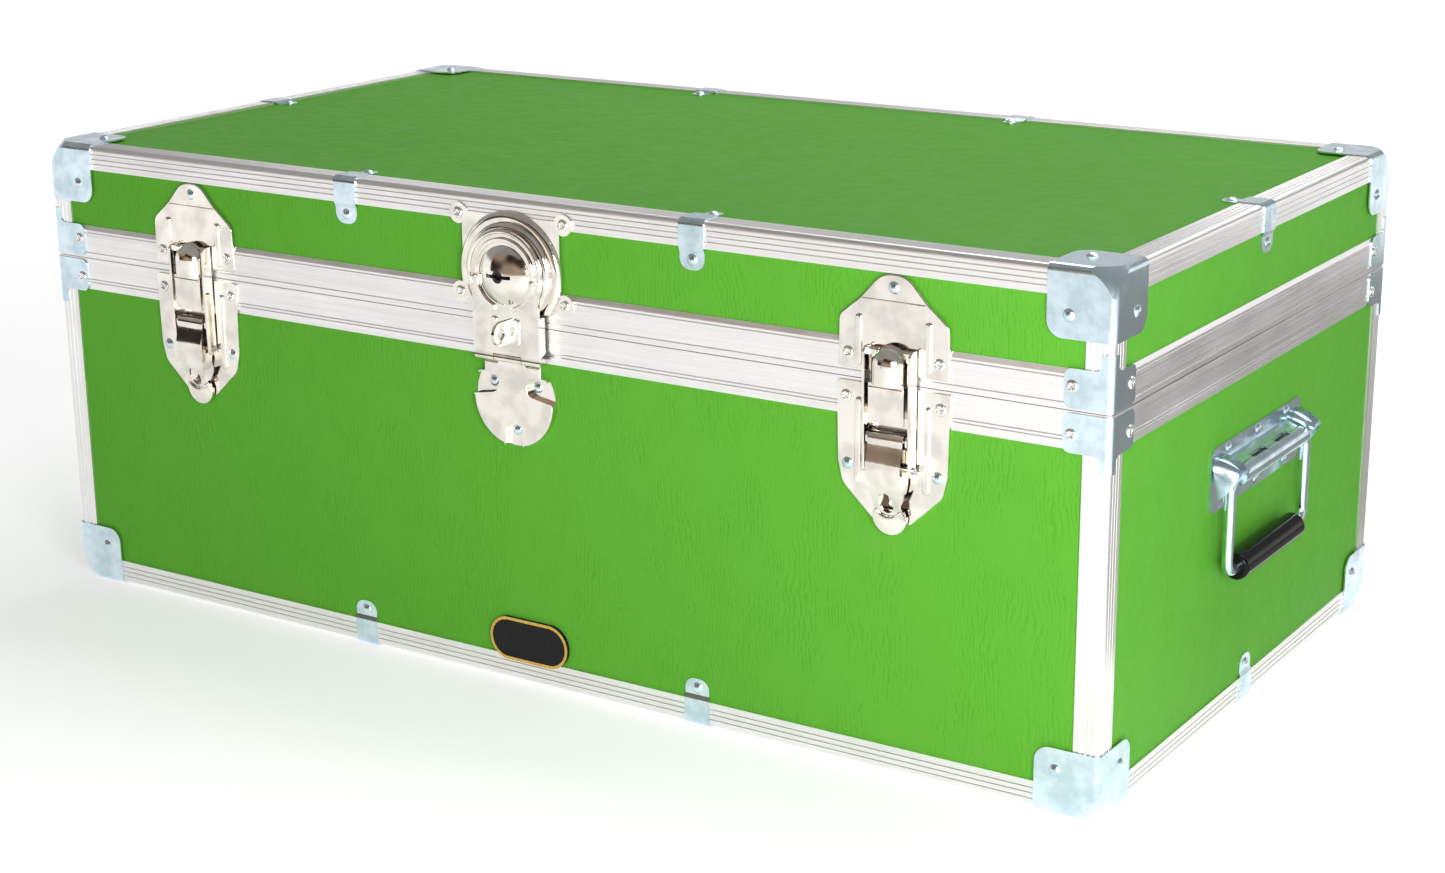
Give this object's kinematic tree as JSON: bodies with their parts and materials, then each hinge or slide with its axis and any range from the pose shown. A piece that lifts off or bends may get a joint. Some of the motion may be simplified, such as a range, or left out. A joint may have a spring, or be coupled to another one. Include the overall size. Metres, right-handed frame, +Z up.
{
  "type": "travel trunk",
  "caption": "Cloth-covered footlocker trunk with a hinged lid, aluminium edging, capped corners, draw latches, a hasp lock with a padlock eye and drop handles at its ends.",
  "frame": {"origin": "centre of the whole trunk's footprint, on the floor under its corner caps", "axes": "+X to the right as the lock side is looked at, +Y from the lock side to the hinges, +Z up"},
  "size_m": [0.953, 0.5276, 0.3645],
  "materials": {
    "panel_plywood": "sanded birch ply",
    "green_leathercloth": "fine wrinkle grain, satin",
    "paper_lining": "matt printed paper",
    "mill_aluminium": "extruded, fine draw lines",
    "zinc_plate": "bright zinc, soft gloss",
    "nickel_plate": "bright nickel",
    "rivet_nickel": "bright nickel",
    "pin_steel": "plain steel",
    "blackened_steel": "black, matt",
    "spring_steel": "oiled steel",
    "grip_plastic": "gloss black",
    "badge_enamel": "black enamel with a gold border"
  },
  "bodies": {
    "base": {"base_bottom_panel": "panel_plywood", "base_front_panel": "panel_plywood", "base_back_panel": "panel_plywood", "base_left_panel": "panel_plywood", "base_right_panel": "panel_plywood", "base_cover": "green_leathercloth", "base_lining": "paper_lining", "base_bottom_edging": "mill_aluminium", "base_corner_edging": "mill_aluminium", "base_rim": "mill_aluminium", "base_corner_caps": "zinc_plate", "base_seam_brackets": "zinc_plate", "base_edge_clips": "zinc_plate", "base_domed_rivets": "zinc_plate", "base_hollow_rivets": "rivet_nickel", "badge": "badge_enamel", "latch_left_base_plate": "nickel_plate", "latch_right_base_plate": "nickel_plate", "latch_pivot_pins": "pin_steel", "lock_base_plate": "nickel_plate", "lock_hinge_pin": "pin_steel", "handle_left_plate": "zinc_plate", "handle_left_spring": "spring_steel", "handle_right_plate": "zinc_plate", "handle_right_spring": "spring_steel", "hinge_base_leaves": "zinc_plate", "hinge_pins": "pin_steel"},
    "lid": {"lid_top_panel": "panel_plywood", "lid_front_panel": "panel_plywood", "lid_back_panel": "panel_plywood", "lid_left_panel": "panel_plywood", "lid_right_panel": "panel_plywood", "lid_cover": "green_leathercloth", "lid_lining": "paper_lining", "lid_top_edging": "mill_aluminium", "lid_corner_edging": "mill_aluminium", "lid_rim": "mill_aluminium", "lid_corner_caps": "zinc_plate", "lid_seam_brackets": "zinc_plate", "lid_edge_clips": "zinc_plate", "lid_domed_rivets": "zinc_plate", "lid_hollow_rivets": "rivet_nickel", "latch_left_keeper_plate": "nickel_plate", "latch_right_keeper_plate": "nickel_plate", "lock_receiver_plate": "nickel_plate", "hinge_lid_leaves": "zinc_plate"},
    "latch_left_lever_body": {"latch_left_lever": "nickel_plate", "latch_left_link_pin": "pin_steel"},
    "latch_left_link_body": {"latch_left_link": "nickel_plate"},
    "latch_right_lever_body": {"latch_right_lever": "nickel_plate", "latch_right_link_pin": "pin_steel"},
    "latch_right_link_body": {"latch_right_link": "nickel_plate"},
    "hasp_body": {"hasp": "nickel_plate", "lock_escutcheon": "nickel_plate", "padlock_eye": "nickel_plate"},
    "plug_body": {"lock_plug": "blackened_steel"},
    "handle_left_body": {"handle_left_bail": "zinc_plate", "handle_left_grip": "grip_plastic"},
    "handle_right_body": {"handle_right_bail": "zinc_plate", "handle_right_grip": "grip_plastic"}
  },
  "joints": [
    {"name": "lid_hinge", "type": "hinge", "parent": "base", "child": "lid", "pos_m": [0, 0.2603, 0.2712], "axis": [-1, 0, 0], "range_deg": [0, 100]},
    {"name": "latch_left_lever_pivot", "type": "hinge", "parent": "base", "child": "latch_left_lever_body", "pos_m": [-0.306, -0.2458, 0.2352], "axis": [-1, 0, 0], "range_deg": [0, 120]},
    {"name": "latch_left_link_pivot", "type": "hinge", "parent": "latch_left_lever_body", "child": "latch_left_link_body", "pos_m": [-0.306, -0.2443, 0.2162], "axis": [-1, 0, 0], "range_deg": [-132, 0]},
    {"name": "latch_right_lever_pivot", "type": "hinge", "parent": "base", "child": "latch_right_lever_body", "pos_m": [0.306, -0.2458, 0.2352], "axis": [-1, 0, 0], "range_deg": [0, 120]},
    {"name": "latch_right_link_pivot", "type": "hinge", "parent": "latch_right_lever_body", "child": "latch_right_link_body", "pos_m": [0.306, -0.2443, 0.2162], "axis": [-1, 0, 0], "range_deg": [-132, 0]},
    {"name": "hasp_hinge", "type": "hinge", "parent": "base", "child": "hasp_body", "pos_m": [0, -0.2453, 0.2472], "axis": [1, 0, 0], "range_deg": [0, 120]},
    {"name": "plug_turn", "type": "hinge", "parent": "hasp_body", "child": "plug_body", "pos_m": [0, -0.252, 0.3082], "axis": [0, -1, 0], "range_deg": [0, 90]},
    {"name": "handle_left_swing", "type": "hinge", "parent": "base", "child": "handle_left_body", "pos_m": [-0.467, 0.0082, 0.1852], "axis": [0, 1, 0], "range_deg": [0, 90], "stiffness_Nm_per_rad": 0.12, "springref_deg": -20.05},
    {"name": "handle_right_swing", "type": "hinge", "parent": "base", "child": "handle_right_body", "pos_m": [0.467, 0.0082, 0.1852], "axis": [0, -1, 0], "range_deg": [0, 90], "stiffness_Nm_per_rad": 0.12, "springref_deg": -20.05}
  ],
  "couplings": [
    {"joint": "latch_left_link_pivot", "follows": "latch_left_lever_pivot", "ratio": -1.1},
    {"joint": "latch_right_link_pivot", "follows": "latch_right_lever_pivot", "ratio": -1.1}
  ]
}
